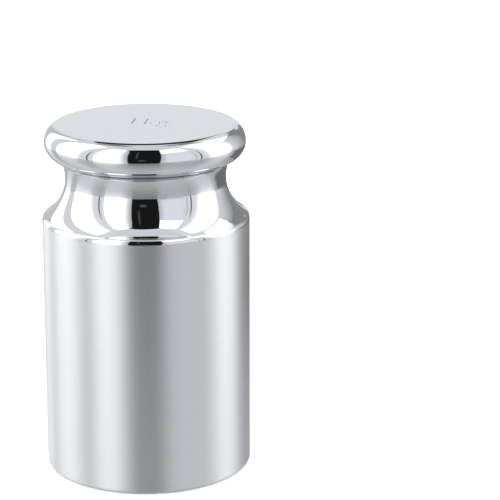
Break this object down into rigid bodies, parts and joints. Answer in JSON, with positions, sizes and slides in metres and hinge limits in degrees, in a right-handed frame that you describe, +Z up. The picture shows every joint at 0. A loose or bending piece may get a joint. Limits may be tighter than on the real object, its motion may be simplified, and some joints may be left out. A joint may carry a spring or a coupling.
{
  "type": "calibration weight",
  "caption": "Plated steel knob weight for testing balances: a plain turned cylinder with a hollow shoulder, a neck for lifting and a flat-topped knob, standing on a narrow ring.",
  "frame": {"origin": "middle of the ring that the weight rests on, at the bottom of its box", "axes": "+Z up along the turning axis, from the base to the flat top; X and Y are any two sideways directions, with the marking on the top read from -Y"},
  "size_m": [0.0468, 0.0468, 0.0796],
  "materials": {
    "plated_steel": "chrome plate: mirror polished on the knob, neck, shoulder and top, fine satin turning on the side"
  },
  "bodies": {
    "root": {"weight_body": "plated_steel"}
  },
  "joints": []
}
